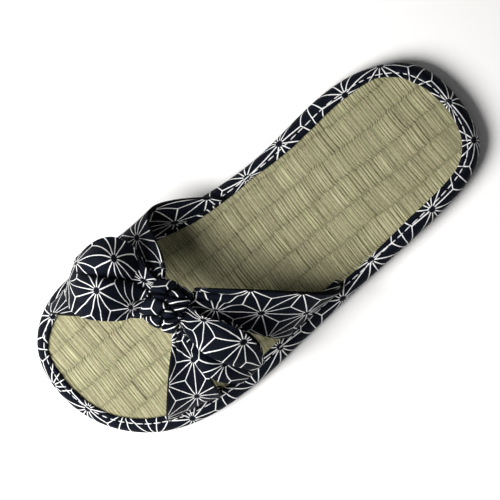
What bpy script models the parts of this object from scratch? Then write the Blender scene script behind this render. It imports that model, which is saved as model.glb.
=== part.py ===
"""Left rush-mat slipper: bound sole, two crossed cotton straps, a knot and a bow with two loops.

Units in the tables are millimetres; meshes are made in metres, with +Y to the toe,
+X to the wearer's big-toe side and +Z up. The sole's tread stands on z = 0.
"""
import math

import bpy
import numpy as np

MM = 0.001

# Middle of the whole slipper's box in the tables' coordinates; the finished part is centred on it
BOX_MIDDLE_X = 3.6
BOX_MIDDLE_Y = -0.3

# Sole: outline seen from above, anticlockwise from the toe tip
OUTLINE = (
    # place, x, y
    ("toe_tip", 8.0, 124.7),
    ("toe_outer", -15.0, 118.3),
    ("little_toe", -38.0, 97.0),
    ("ball_outer", -49.4, 60.0),
    ("waist_outer", -48.4, 18.0),
    ("side_outer", -43.4, -40.0),
    ("heel_outer", -39.8, -88.0),
    ("heel_corner_outer", -28.5, -117.5),
    ("heel_tip", -2.0, -125.3),
    ("heel_corner_inner", 24.3, -118.3),
    ("heel_inner", 39.2, -90.0),
    ("waist_inner", 37.0, -30.0),
    ("waist_front", 42.6, 22.0),
    ("ball_inner", 50.3, 72.0),
    ("big_toe", 46.0, 104.0),
    ("toe_inner", 31.0, 120.3),
)
OUTLINE_STEPS = 84
SPLINE_STEPS = 60
SIDE_STEPS = 1200

# Edge of the sole: heights and widths of its section
BINDING_TOP = 10.7
BINDING_BOTTOM = 0.7
BINDING_WALL = 1.1
BINDING_WIDTH = 8.3
EDGE_ROUND = 4.6
EDGE_STEPS = 7
GAP = 0.3
MAT_THICKNESS = 2.4
MAT_INSET = 4.0
TREAD_INSET = 9.2

# Crossing of the straps: the gathered core inside the knot, turned from the foot's width
CROSS_X = 7.0
CROSS_Y = 41.0
CROSS_Z = 42.0
CROSS_TURN = 24.0
CORE_LENGTH = 26.0
CORE_WIDTH = 16.0
CORE_HEIGHT = 4.6
CORE_ROOT = 11.3
CORE_ROUNDNESS = 0.6
CORE_STEPS_AROUND = 16
CORE_STEPS_ALONG = 4

STRAP_WALL = 2.4
STRAP_STEPS_ALONG = 14
STRAP_STEPS_ACROSS = 6

# Straps, a row for each edge of each arm, from its foot on the sole to the crossing. The foot is
# a place along the sole, set in from the sole's edge. Swell, lean and rise place the bow of the
# edge out from its foot, to the toe and up; reach and arch shape its run into the crossing, where
# root is its place across the core.
ARM_EDGES = (
    # arm, side, edge, foot, inset, swell, lean, rise, reach, arch, root
    ("front_outer", -1, "front", 87.0, 11.0, 15.0, 5.0, 20.0, 0.45, -1.0, 9.5),
    ("front_outer", -1, "rear", 56.0, 11.0, 15.0, 0.0, 20.0, 0.45, -1.0, 0.3),
    ("rear_outer", -1, "front", 10.0, 11.0, 15.0, 0.0, 20.0, 0.45, -1.0, -0.3),
    ("rear_outer", -1, "rear", -25.0, 11.0, 19.0, -8.0, 20.0, 0.45, -1.0, -12.5),
    ("front_inner", 1, "front", 96.0, 5.2, 4.0, 14.0, 20.0, 0.45, -1.0, 12.5),
    ("front_inner", 1, "rear", 70.0, 5.2, 18.0, 0.0, 20.0, 0.45, -1.0, 0.3),
    ("rear_inner", 1, "front", 51.5, 6.0, 22.5, 4.6, 20.0, 0.45, -1.0, -0.3),
    ("rear_inner", 1, "rear", -8.6, 4.9, 39.5, 57.3, 16.1, 0.41, -1.0, -8.5),
)
# How far each arm puffs out between its edges
ARM_CROWN = {"front_outer": 2.0, "rear_outer": 2.0, "front_inner": 2.5, "rear_inner": 1.0}

# Knot: a band round the core and the roots of the loops
KNOT_LENGTH = 20.0
KNOT_WALL_SIDE = 4.4
KNOT_WALL_TOP = 3.0
KNOT_BARREL = 1.6
KNOT_ROUNDNESS = 0.8
KNOT_HOLE_ROUNDNESS = 0.35
KNOT_STEPS_AROUND = 28
KNOT_STEPS_ALONG = 6

# Loops, a row for each: direction seen from above (degrees from +X), length from the crossing,
# widths of the ribbon, height of the tip, depth of the hollow and depth of the main fold
LOOPS = (
    # name, side, direction, length, full_width, tip_width, arch, tip_z, depth, fold
    ("bow_loop_lateral", -1, 184.5, 51.0, 27.0, 18.0, 5.0, 38.0, 12.0, 2.0),
    ("bow_loop_medial", 1, 33.0, 48.0, 39.0, 22.0, 6.0, 43.5, 15.0, 2.0),
)
LOOP_ROOT_WIDTH = 13.0
LOOP_ROOT_LENGTH = 10.8
LOOP_WIDEST = 0.55
LOOP_FLARE = 1.2
LOOP_DROOP = 1.6
LOOP_FOLD_HALF = 0.3
LOOP_TURN_LENGTH = 14.0
LOOP_SAG = 1.0
LOOP_WALL = 1.5
LOOP_ROOT_GAP = 2.2
LOOP_STEPS_ROUND = 30
LOOP_STEPS_ACROSS = 8
LOOP_PATH_STEPS = 200

# Finishes: colour and roughness
NAVY_COTTON = ((0.016, 0.018, 0.040, 1.0), 0.85)
WOVEN_RUSH = ((0.42, 0.37, 0.20, 1.0), 0.70)
SOLE_SHEET = ((0.045, 0.045, 0.050, 1.0), 0.80)
SMOOTH_ANGLE = 40.0


def clear_scene():
    for item in list(bpy.data.objects):
        bpy.data.objects.remove(item, do_unlink=True)


def material(name, colour, roughness):
    made = bpy.data.materials.new(name + "_finish")
    made.use_nodes = True
    shader = made.node_tree.nodes["Principled BSDF"]
    shader.inputs["Base Color"].default_value = colour
    shader.inputs["Roughness"].default_value = roughness
    shader.inputs["Metallic"].default_value = 0.0
    return made


def add_piece(name, points, faces, finish):
    mesh = bpy.data.meshes.new(name)
    placed = (np.asarray(points) - np.array((BOX_MIDDLE_X, BOX_MIDDLE_Y, 0.0))) * MM
    mesh.from_pydata([tuple(p) for p in placed], [], faces)
    mesh.update()
    mesh.shade_smooth()
    mesh.set_sharp_from_angle(angle=math.radians(SMOOTH_ANGLE))
    mesh.materials.append(material(name, *finish))
    piece = bpy.data.objects.new(name, mesh)
    bpy.context.collection.objects.link(piece)
    return piece


def closed_spline(points, count):
    """Even points along a smooth closed curve, and its outward directions."""
    knots = np.array(points, float)
    total = len(knots)
    spans = np.linalg.norm(np.roll(knots, -1, axis=0) - knots, axis=1)
    system = np.zeros((total, total))
    right = np.zeros((total, 2))
    for i in range(total):
        before = spans[i - 1]
        after = spans[i]
        system[i, i - 1] += after
        system[i, i] += 2 * (before + after)
        system[i, (i + 1) % total] += before
        into = (knots[i] - knots[i - 1]) / before
        out = (knots[(i + 1) % total] - knots[i]) / after
        right[i] = 3 * (after * into + before * out)
    slopes = np.linalg.solve(system, right)
    dense = []
    for i in range(total):
        j = (i + 1) % total
        for t in np.linspace(0, 1, SPLINE_STEPS, endpoint=False):
            a = 2 * t ** 3 - 3 * t ** 2 + 1
            b = t ** 3 - 2 * t ** 2 + t
            c = -2 * t ** 3 + 3 * t ** 2
            d = t ** 3 - t ** 2
            ends = a * knots[i] + c * knots[j]
            dense.append(ends + spans[i] * (b * slopes[i] + d * slopes[j]))
    dense = np.array(dense + dense[:1])
    run = np.concatenate([[0], np.cumsum(np.linalg.norm(np.diff(dense, axis=0), axis=1))])
    places = np.linspace(0, run[-1], count, endpoint=False)
    curve = np.stack([np.interp(places, run, dense[:, k]) for k in (0, 1)], axis=1)
    along = np.roll(curve, -1, axis=0) - np.roll(curve, 1, axis=0)
    outward = np.stack([along[:, 1], -along[:, 0]], axis=1)
    outward /= np.linalg.norm(outward, axis=1)[:, None]
    return curve, outward


def sole_outline(count):
    return closed_spline([(x, y) for _, x, y in OUTLINE], count)


def sole_side(y, side):
    """Point of the sole's edge at a place along it, on the outer (-1) or inner (+1) side."""
    curve, outward = sole_outline(SIDE_STEPS)
    near = np.where(np.sign(curve[:, 0]) == side, np.abs(curve[:, 1] - y), np.inf)
    best = int(np.argmin(near))
    return curve[best], outward[best]


def ring_faces(rings, steps, closed_section):
    """Quads of a section carried round a closed path; an open section is left for caps."""
    faces = []
    spans = steps if closed_section else steps - 1
    for i in range(rings):
        j = (i + 1) % rings
        for k in range(spans):
            m = (k + 1) % steps
            faces.append((i * steps + k, j * steps + k, j * steps + m, i * steps + m))
    return faces


def edge_round(start, end, depth, half_height, middle):
    """Half-round edge of the sole from one angle to another, as (inset, height)."""
    angles = np.radians(np.linspace(start, end, EDGE_STEPS))
    return [(depth[0] + depth[1] * (1 - math.cos(a)), middle + half_height * math.sin(a)) for a in angles]


def sweep_edge(section):
    """Carry a section of (inset, height) points round the sole's outline."""
    curve, outward = sole_outline(OUTLINE_STEPS)
    points = []
    for centre, out in zip(curve, outward):
        for inset, height in section:
            flat = centre - out * inset
            points.append((flat[0], flat[1], height))
    return points


EDGE_MIDDLE = (BINDING_TOP + BINDING_BOTTOM) / 2
EDGE_HALF = (BINDING_TOP - BINDING_BOTTOM) / 2
MAT_TOP = BINDING_TOP - BINDING_WALL - GAP


def make_binding(finish):
    wall = BINDING_WALL
    outer = edge_round(90, -90, (0, EDGE_ROUND), EDGE_HALF, EDGE_MIDDLE)
    inner = edge_round(-90, 90, (wall, EDGE_ROUND - wall), EDGE_HALF - wall, EDGE_MIDDLE)
    section = [(BINDING_WIDTH, BINDING_TOP)] + outer + [(BINDING_WIDTH, BINDING_BOTTOM)]
    section += [(BINDING_WIDTH, BINDING_BOTTOM + wall)] + inner + [(BINDING_WIDTH, BINDING_TOP - wall)]
    points = sweep_edge(section)
    faces = ring_faces(OUTLINE_STEPS, len(section), True)
    return add_piece("binding", points, faces, finish)


def slab(name, section, finish):
    """Solid slab: a side section from the bottom face's rim to the top face's rim, with both faces."""
    steps = len(section)
    points = sweep_edge(section)
    faces = ring_faces(OUTLINE_STEPS, steps, False)
    faces.append(tuple(i * steps for i in reversed(range(OUTLINE_STEPS))))
    faces.append(tuple(i * steps + steps - 1 for i in range(OUTLINE_STEPS)))
    return add_piece(name, points, faces, finish)


def make_outsole(finish):
    room = BINDING_WALL + GAP
    top = MAT_TOP - MAT_THICKNESS - GAP
    half = EDGE_HALF - room
    reach = math.degrees(math.asin((top - EDGE_MIDDLE) / half))
    side = edge_round(-90, reach, (room, EDGE_ROUND - room), half, EDGE_MIDDLE)
    section = [(TREAD_INSET, 0.0), (TREAD_INSET, EDGE_MIDDLE - half)] + side
    return slab("outsole", section, finish)


def make_insole(finish):
    section = [(MAT_INSET, MAT_TOP - MAT_THICKNESS), (MAT_INSET, MAT_TOP)]
    return slab("insole", section, finish)


def bezier(controls, steps):
    p0, p1, p2, p3 = [np.array(c, float) for c in controls]
    t = np.linspace(0, 1, steps + 1)[:, None]
    return (1 - t) ** 3 * p0 + 3 * (1 - t) ** 2 * t * p1 + 3 * (1 - t) * t ** 2 * p2 + t ** 3 * p3


def cross_point(along, across, height):
    """Point of the crossing, given along and across the turned core."""
    turn = math.radians(CROSS_TURN)
    x = CROSS_X + along * math.cos(turn) - across * math.sin(turn)
    y = CROSS_Y + along * math.sin(turn) + across * math.cos(turn)
    return np.array((x, y, height))


def strap_edge(row):
    """One edge of a strap's arm, from its foot on the sole to the core of the crossing."""
    _, side, _, foot_y, inset, swell, lean, rise, reach, arch, root = row
    place, out = sole_side(foot_y, side)
    base = place - out * inset
    stands_on = BINDING_TOP if inset < BINDING_WIDTH else MAT_TOP
    foot = np.array((base[0], base[1], stands_on + GAP))
    bow = foot + np.array((out[0] * swell, out[1] * swell + lean, rise))
    end = cross_point(side * CORE_ROOT, root, CROSS_Z)
    shoulder = end + (foot - end) * reach
    shoulder[2] = CROSS_Z + arch
    return bezier((foot, bow, shoulder, end), STRAP_STEPS_ALONG)


def sheet_normals(grid):
    along = np.gradient(grid, axis=0)
    across = np.gradient(grid, axis=1)
    normal = np.cross(along, across)
    normal /= np.linalg.norm(normal, axis=2)[..., None]
    return normal


def thick_sheet(name, grid, wall, finish):
    """Closed solid of a sheet given by its middle surface, its first row standing level."""
    normal = sheet_normals(grid)
    if normal[..., 2].mean() < 0:
        normal = -normal
    normal[0, :, 2] = 0
    normal[0] /= np.linalg.norm(normal[0], axis=1)[:, None]
    upper = grid + normal * wall / 2
    lower = grid - normal * wall / 2
    rows, columns, _ = grid.shape
    count = rows * columns
    points = np.concatenate([upper.reshape(-1, 3), lower.reshape(-1, 3)])
    faces = []
    for i in range(rows - 1):
        for j in range(columns - 1):
            a = i * columns + j
            b = a + 1
            c = a + columns + 1
            d = a + columns
            faces.append((a, b, c, d))
            faces.append((count + a, count + d, count + c, count + b))
    rim = [(i, 0) for i in range(rows)]
    rim += [(rows - 1, j) for j in range(1, columns)]
    rim += [(i, columns - 1) for i in reversed(range(rows - 1))]
    rim += [(0, j) for j in reversed(range(1, columns - 1))]
    order = [i * columns + j for i, j in rim]
    for k, a in enumerate(order):
        b = order[(k + 1) % len(order)]
        faces.append((a, b, count + b, count + a))
    return add_piece(name, points, faces, finish)


def face_outward(piece):
    """Turn a closed mesh's faces out, judged by its enclosed volume."""
    mesh = piece.data
    mesh.calc_loop_triangles()
    volume = 0.0
    for triangle in mesh.loop_triangles:
        a, b, c = [mesh.vertices[v].co for v in triangle.vertices]
        volume += a.dot(b.cross(c))
    if volume < 0:
        mesh.flip_normals()


def strap_arm(name, finish):
    front, rear = [strap_edge(row) for row in ARM_EDGES if row[0] == name]
    share = np.linspace(0, 1, STRAP_STEPS_ACROSS + 1)[None, :, None]
    run = np.linspace(0, 1, STRAP_STEPS_ALONG + 1)[:, None, None]
    grid = front[:, None, :] * (1 - share) + rear[:, None, :] * share
    outward = sheet_normals(grid)
    outward *= math.copysign(1, outward[..., 2].mean())
    grid = grid + outward * ARM_CROWN[name] * np.sin(math.pi * run) * 4 * share * (1 - share)
    piece = thick_sheet(name, grid, STRAP_WALL, finish)
    face_outward(piece)
    return piece


def core_ring(along, half_y, half_z, centre_z, steps, power):
    """Rounded section of the crossing, square to the core."""
    ring = []
    for k in range(steps):
        a = 2 * math.pi * k / steps
        across = half_y * math.copysign(abs(math.cos(a)) ** power, math.cos(a))
        height = half_z * math.copysign(abs(math.sin(a)) ** power, math.sin(a))
        ring.append(cross_point(along, across, centre_z + height))
    return ring


def make_core(finish):
    """Gathered core of the straps where they cross inside the knot."""
    steps = CORE_STEPS_AROUND
    points = []
    stations = np.linspace(-CORE_LENGTH / 2, CORE_LENGTH / 2, CORE_STEPS_ALONG + 1)
    for x in stations:
        points += core_ring(x, CORE_WIDTH / 2, CORE_HEIGHT / 2, CROSS_Z, steps, CORE_ROUNDNESS)
    faces = []
    for i in range(len(stations) - 1):
        for k in range(steps):
            m = (k + 1) % steps
            faces.append((i * steps + k, i * steps + m, (i + 1) * steps + m, (i + 1) * steps + k))
    faces.append(tuple(reversed(range(steps))))
    faces.append(tuple(range(len(points) - steps, len(points))))
    piece = add_piece("upper", points, faces, finish)
    face_outward(piece)
    return piece


def make_upper(finish):
    """The straps as one solid: the core with the four arms joined to it."""
    upper = make_core(finish)
    for name in dict.fromkeys(row[0] for row in ARM_EDGES):
        arm = strap_arm(name, finish)
        arm.hide_render = True
        arm.display_type = "WIRE"
        join = upper.modifiers.new("join_" + name, "BOOLEAN")
        join.operation = "UNION"
        join.solver = "EXACT"
        join.object = arm
    return upper


LOOP_ROOT_HEIGHT = LOOP_ROOT_GAP + LOOP_WALL
CORE_TOP = CROSS_Z + CORE_HEIGHT / 2
LOOP_ROOT_Z = CORE_TOP + GAP + LOOP_ROOT_HEIGHT / 2


def smooth_step(share):
    share = min(1.0, max(0.0, share))
    return share * share * (3 - 2 * share)


def loop_path(side, direction, length, steps):
    """Middle line of a loop seen from above: it leaves the knot along the core, then turns."""
    place = cross_point(side * (GAP + LOOP_WALL), 0.0, 0.0)
    start = CROSS_TURN + (180.0 if side < 0 else 0.0)
    places = [place]
    headings = []
    step = length / steps
    for k in range(steps):
        turned = smooth_step((k * step - LOOP_ROOT_LENGTH / 2) / LOOP_TURN_LENGTH)
        heading = math.radians(start + (direction - start) * turned)
        ahead = np.array((math.cos(heading), math.sin(heading), 0.0))
        place = place + ahead * step
        places.append(place)
        headings.append(ahead)
    headings.append(headings[-1])
    return places, headings


def loop_width(share, full_width, tip_width):
    """Ribbon width from the knot's side to the tip."""
    if share < LOOP_WIDEST:
        grown = math.sin(math.pi / 2 * share / LOOP_WIDEST) ** LOOP_FLARE
        return LOOP_ROOT_WIDTH + (full_width - LOOP_ROOT_WIDTH) * grown
    past = (share - LOOP_WIDEST) / (1 - LOOP_WIDEST)
    return tip_width + (full_width - tip_width) * math.sqrt(max(0.0, 1 - past * past))


def loop_half_depth(share, depth):
    """Half the distance between a loop's two layers, closing to a round tip."""
    root = LOOP_ROOT_GAP / 2
    if share < LOOP_WIDEST:
        return root + (depth / 2 - root) * smooth_step(share / LOOP_WIDEST)
    past = (share - LOOP_WIDEST) / (1 - LOOP_WIDEST)
    return depth / 2 * math.sqrt(max(0.0, 1 - past * past))


def loop_grid(row):
    """Middle surface of a loop, a row of points across the ribbon at each step round it."""
    _, side, direction, length, full_width, tip_width, arch, tip_z, depth, fold = row
    places, headings = loop_path(side, direction, length, LOOP_PATH_STEPS)
    half_steps = LOOP_STEPS_ROUND // 2
    runs = [math.sin(math.pi / 2 * k / half_steps) for k in range(half_steps + 1)]
    stations = [(run, 1) for run in runs] + [(run, -1) for run in reversed(runs[:-1])]
    grid = []
    for run, layer in stations:
        share = max(0.0, (run * length - LOOP_ROOT_LENGTH) / (length - LOOP_ROOT_LENGTH))
        station = round(run * LOOP_PATH_STEPS)
        place = places[station]
        ahead = headings[station]
        sideways = np.array((-ahead[1], ahead[0], 0.0))
        half_width = loop_width(share, full_width, tip_width) / 2
        droop = (tip_z - LOOP_ROOT_Z) * share ** LOOP_DROOP
        middle = LOOP_ROOT_Z + arch * math.sin(math.pi * share) + droop
        rise = layer * loop_half_depth(share, depth)
        line = []
        for v in np.linspace(-1, 1, LOOP_STEPS_ACROSS + 1):
            trough = math.exp(-(v / LOOP_FOLD_HALF) ** 2) * math.sin(math.pi * share)
            dip = fold * trough if layer > 0 else LOOP_SAG * trough
            height = middle + rise - dip
            line.append(place + sideways * v * half_width + np.array((0.0, 0.0, height)))
        grid.append(line)
    return np.array(grid)


def make_loop(row, finish):
    """Ribbon loop with its wall, open at both edges of the ribbon."""
    grid = loop_grid(row)
    rows, columns, _ = grid.shape
    along = np.roll(grid, -1, axis=0) - np.roll(grid, 1, axis=0)
    across = np.gradient(grid, axis=1)
    normal = np.cross(along, across)
    normal /= np.linalg.norm(normal, axis=2)[..., None]
    count = rows * columns
    outer = grid + normal * LOOP_WALL / 2
    inner = grid - normal * LOOP_WALL / 2
    points = np.concatenate([outer.reshape(-1, 3), inner.reshape(-1, 3)])
    faces = []
    for i in range(rows):
        this = i * columns
        after = ((i + 1) % rows) * columns
        for j in range(columns - 1):
            faces.append((this + j, after + j, after + j + 1, this + j + 1))
            faces.append((count + this + j, count + this + j + 1, count + after + j + 1, count + after + j))
        last = columns - 1
        faces.append((this, count + this, count + after, after))
        faces.append((this + last, after + last, count + after + last, count + this + last))
    piece = add_piece(row[0], points, faces, finish)
    face_outward(piece)
    return piece


def make_knot(finish):
    """Band wrapped round the core and the roots of the loops."""
    low = CROSS_Z - CORE_HEIGHT / 2 - GAP
    high = LOOP_ROOT_Z + LOOP_ROOT_HEIGHT / 2 + GAP
    centre_z = (low + high) / 2
    hole_z = (high - low) / 2
    hole_y = CORE_WIDTH / 2 + 2 * GAP
    points = []
    stations = np.linspace(-KNOT_LENGTH / 2, KNOT_LENGTH / 2, KNOT_STEPS_ALONG + 1)
    steps = KNOT_STEPS_AROUND
    for x in stations:
        pinch = KNOT_BARREL * (2 * x / KNOT_LENGTH) ** 2
        wall_y = KNOT_WALL_SIDE - pinch
        wall_z = KNOT_WALL_TOP - pinch
        points += core_ring(x, hole_y + wall_y, hole_z + wall_z, centre_z, steps, KNOT_ROUNDNESS)
    for x in reversed(stations):
        points += core_ring(x, hole_y, hole_z, centre_z, steps, KNOT_HOLE_ROUNDNESS)
    rings = 2 * len(stations)
    faces = []
    for i in range(rings):
        j = (i + 1) % rings
        for k in range(steps):
            m = (k + 1) % steps
            faces.append((i * steps + k, i * steps + m, j * steps + m, j * steps + k))
    piece = add_piece("bow_knot", points, faces, finish)
    face_outward(piece)
    return piece


def main():
    clear_scene()
    for piece in (make_binding(NAVY_COTTON), make_outsole(SOLE_SHEET), make_insole(WOVEN_RUSH)):
        face_outward(piece)
    make_upper(NAVY_COTTON)
    for row in LOOPS:
        make_loop(row, NAVY_COTTON)
    make_knot(NAVY_COTTON)


main()
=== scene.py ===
"""Looks of a left rush-mat slipper: printed cotton straps, bow and edge binding on a woven rush mat.

The tables are in millimetres, laid out as in the part's source; finished meshes are in metres.
"""
import math

import bpy
import numpy as np
from mathutils import Matrix, Vector


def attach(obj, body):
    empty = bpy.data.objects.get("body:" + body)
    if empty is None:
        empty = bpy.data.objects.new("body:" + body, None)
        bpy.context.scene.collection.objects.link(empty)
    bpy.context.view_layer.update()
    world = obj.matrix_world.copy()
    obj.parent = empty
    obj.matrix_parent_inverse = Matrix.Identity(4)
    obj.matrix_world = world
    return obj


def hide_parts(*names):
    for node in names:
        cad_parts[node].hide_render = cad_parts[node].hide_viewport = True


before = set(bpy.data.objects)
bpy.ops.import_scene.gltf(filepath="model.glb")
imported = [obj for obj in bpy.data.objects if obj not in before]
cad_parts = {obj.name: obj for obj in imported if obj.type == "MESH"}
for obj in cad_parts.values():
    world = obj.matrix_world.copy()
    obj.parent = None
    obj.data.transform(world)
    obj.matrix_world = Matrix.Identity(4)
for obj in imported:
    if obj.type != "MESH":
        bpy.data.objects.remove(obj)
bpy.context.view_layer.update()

MM = 0.001
BOX_MIDDLE = np.array((3.6, -0.3, 0.0))
SEAM_REACH = 0.02

# Sole: outline seen from above, anticlockwise from the toe tip
OUTLINE = (
    # place, x, y
    ("toe_tip", 8.0, 124.7),
    ("toe_outer", -15.0, 118.3),
    ("little_toe", -38.0, 97.0),
    ("ball_outer", -49.4, 60.0),
    ("waist_outer", -48.4, 18.0),
    ("side_outer", -43.4, -40.0),
    ("heel_outer", -39.8, -88.0),
    ("heel_corner_outer", -28.5, -117.5),
    ("heel_tip", -2.0, -125.3),
    ("heel_corner_inner", 24.3, -118.3),
    ("heel_inner", 39.2, -90.0),
    ("waist_inner", 37.0, -30.0),
    ("waist_front", 42.6, 22.0),
    ("ball_inner", 50.3, 72.0),
    ("big_toe", 46.0, 104.0),
    ("toe_inner", 31.0, 120.3),
)
SPLINE_STEPS = 60
OUTLINE_FINE = 1200

# Edge of the sole
BINDING_TOP = 10.7
BINDING_BOTTOM = 0.7
BINDING_WIDTH = 8.3
BINDING_CLOTH = 1.0
EDGE_ROUND = 4.6
EDGE_HALF = (BINDING_TOP - BINDING_BOTTOM) / 2
EDGE_MIDDLE = (BINDING_TOP + BINDING_BOTTOM) / 2
GAP = 0.3
BINDING_GRID = (640, 56)
# Puckers of the binding, more where the sole turns tightly, and how far its edge's wander and roll reach
PUCKER_PITCH = 5.6
PUCKER_DEPTH = 0.05
PUCKER_MORE = 0.26
PUCKER_REACH = 5.0
TIGHT_BEND = 0.022
WANDER_REACH = 3.2
EDGE_ROLL = 0.55
# Wander of the binding's inner edge, by the way round from the toe tip
BINDING_WANDER = (
    # along, further_in
    (8.0, -0.5),
    (32.0, -1.1),
    (64.0, 0.0),
    (160.0, 0.0),
    (192.0, -1.1),
    (228.0, 0.5),
    (262.0, -0.7),
    (277.0, -0.3),
    (299.0, -1.5),
    (327.0, -0.3),
    (351.0, -2.3),
    (369.0, 0.0),
    (393.0, 1.0),
    (407.0, 0.6),
    (431.0, -1.8),
    (467.0, 1.1),
    (490.0, 0.0),
    (560.0, -0.1),
    (582.0, -1.8),
    (598.0, -0.4),
)
# Stitching: a run of white stitches along the binding's inner edge
STITCH_INSET = 2.9
STITCH_PITCH = 5.0
STITCH_LENGTH = 4.0
STITCH_WIDTH = 0.62
STITCH_HEIGHT = 0.55
STITCH_SUNK = 0.45
STITCH_TROUGH = 0.9
STITCH_RIDGE = 0.25

# Rush mat: columns of stems between its warp threads
MAT_TOP = 9.3
MAT_DEPTH = 2.2
MAT_INSET = 4.4
COLUMN_WIDTH = 12.3
COLUMN_START = 2.0
STEM_PITCH = 1.55
STEM_HEIGHT = 0.80
STEM_SUNK = 0.40
BLOCK_STEMS = 7.0
BLOCK_TURNED = 0.78
BLOCK_LIFT = 0.18
# Share of a stem's height that shows, least and spread, in a proud block and in a low one
STEM_PROUD = (0.46, 0.30)
STEM_LOW = (0.20, 0.24)
MAT_STEP_ACROSS = 1.0
MAT_STEP_ALONG = 0.31

# Crossing of the straps, turned from the foot's width
CROSS_X = 7.0
CROSS_Y = 41.0
CROSS_Z = 42.0
CROSS_TURN = 24.0
CORE_WIDTH = 16.0
CORE_HEIGHT = 4.6
CORE_ROOT = 8.0

# Straps, a row for each edge of each arm, from its foot on the sole to the crossing
ARM_EDGES = (
    # arm, side, edge, foot, inset, swell, lean, rise, reach, arch, root
    ("front_outer", -1, "front", 87.0, 10.2, 15.0, 5.0, 20.0, 0.45, -1.0, 9.5),
    ("front_outer", -1, "rear", 56.0, 10.2, 15.0, 0.0, 20.0, 0.45, -1.0, 0.3),
    ("rear_outer", -1, "front", 10.0, 10.2, 15.0, 0.0, 20.0, 0.45, -1.0, -0.3),
    ("rear_outer", -1, "rear", -25.0, 10.2, 19.0, -8.0, 20.0, 0.45, -1.0, -12.5),
    ("front_inner", 1, "front", 96.0, 5.2, 4.0, 14.0, 20.0, 0.45, -1.0, 12.5),
    ("front_inner", 1, "rear", 70.0, 5.2, 18.0, 0.0, 20.0, 0.45, -1.0, 0.3),
    ("rear_inner", 1, "front", 51.5, 7.6, 25.5, 4.6, 20.0, 0.45, -1.0, -0.3),
    ("rear_inner", 1, "rear", -8.6, 7.4, 44.5, 57.3, 16.1, 0.41, -1.0, -8.5),
)
# Each arm: how far it puffs out, and its pleats' depth
ARM_CLOTH = {
    # arm: (crown, pleat_depth)
    "front_outer": (2.0, 0.3),
    "rear_outer": (2.0, 0.9),
    "front_inner": (2.5, 0.9),
    "rear_inner": (1.0, 0.9),
}
# Three neighbouring stars of the print on each arm: run out from the crossing, and across
ARM_STARS = {
    # arm: ((run, across), (run, across), (run, across))
    "front_outer": ((24.3, 7.6), (44.5, 4.2), (26.6, -15.2)),
    "rear_outer": ((36.7, -2.3), (58.1, 1.4), (44.2, 18.1)),
    "front_inner": ((12.0, 0.0), (34.0, 0.0), (23.0, 19.0)),
    "rear_inner": ((5.9, 10.3), (27.3, 3.6), (22.4, 25.5)),
}
# The same for the lining, where it shows
LINING_STARS = {
    "rear_inner": ((58.9, 4.2), (56.2, 27.9), (38.5, 15.5)),
}
STRAP_CLOTH = 2.2
STRAP_GRID = (44, 28)
PLEATS = 3.5
PLEAT_START = 0.55
GATHERED_WIDTH = 18.0
# Beyond this share of a strap's width from its middle, the hem is darkened by painted shade
HEM_SHADE_SHARE = 0.99

# Knot: a band round the core and the roots of the loops
KNOT_LENGTH = 20.0
KNOT_WALL_FRONT = 4.4
KNOT_WALL_REAR = 2.0
KNOT_WALL_TOP = 3.6
KNOT_WALL_LEAST = 1.2
KNOT_SQUARENESS = 0.8
KNOT_BARREL = 1.8
KNOT_EDGE_ROLL = 0.28
KNOT_CLOTH = 1.0
KNOT_GRID = (290, 150)
KNOT_PUFF = 0.9
KNOT_CREASE = 2.6
KNOT_CREASE_REACH = 1.1
# Half the width of the painted shade in the knot's creases
KNOT_SHADE_REACH = 0.9
# Folds of the knot seen from above, along and across the core; the place of the print's lattice under the
# middle of each, and how far its print has turned
KNOT_FOLDS = (
    # along, across, heading, length, width, print_along, print_across, print_turn
    (-6.3, -10.9, -2.0, 5.8, 1.1, 13.0, -1.0, 0.5),
    (3.3, -7.6, 47.5, 5.5, 2.1, -0.1, 13.4, -1.0),
    (-2.7, -7.7, 6.0, 5.0, 1.3, 10.1, -0.7, 17.0),
    (-6.0, -5.6, 29.0, 6.9, 1.3, 11.3, -0.5, -40.0),
    (-9.4, -2.8, 38.0, 5.2, 1.3, 2.5, 14.6, -11.5),
    (2.8, 2.2, 43.5, 3.3, 2.7, -2.2, 10.8, -7.0),
    (4.2, -2.8, 17.5, 2.9, 1.4, 11.0, 3.0, 0.0),
    (-4.2, 2.9, 19.0, 2.7, 1.8, 11.3, 1.3, -20.0),
    (-13.4, -1.1, 13.0, 5.5, 1.6, 11.0, 0.0, 0.0),
    (-0.2, 11.0, 69.0, 3.0, 2.2, 12.2, 0.6, 24.5),
    (-5.7, 7.2, 42.5, 5.3, 1.6, 9.4, 5.1, 14.5),
    (-7.3, 10.6, 48.5, 5.1, 2.0, 12.7, 0.7, -47.0),
)

# Loops, a row for each
LOOPS = (
    # name, side, direction, length, arch, tip_z, depth
    ("bow_loop_lateral", -1, 184.5, 51.0, 5.0, 38.0, 12.0),
    ("bow_loop_medial", 1, 33.0, 48.0, 6.0, 43.5, 15.0),
)
# Edges of each loop seen from above, left and right of its middle line
LOOP_EDGES = {
    # loop: ((run, left, right), ...)
    "bow_loop_lateral": (
        (0.0, 6.0, -6.3),
        (10.0, 4.6, -7.4),
        (14.0, 3.4, -9.2),
        (24.0, 10.6, -10.4),
        (29.0, 13.4, -12.8),
        (34.0, 15.2, -13.9),
        (43.0, 14.8, -12.3),
        (48.0, 12.0, -9.0),
        (51.0, 8.4, -5.2),
    ),
    "bow_loop_medial": (
        (0.0, 6.3, -6.3),
        (8.0, 10.0, -8.0),
        (12.0, 15.2, -10.4),
        (16.0, 17.0, -12.9),
        (20.0, 18.2, -17.0),
        (24.0, 19.2, -20.0),
        (33.0, 20.8, -20.6),
        (39.0, 20.6, -17.2),
        (44.0, 18.8, -11.0),
        (48.0, 13.0, -2.5),
    ),
}
LOOP_ROOT_LENGTH = 10.8
LOOP_OPENED = 0.55
LOOP_DROOP = 1.6
LOOP_TURN_LENGTH = 14.0
LOOP_WALL = 1.5
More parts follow.
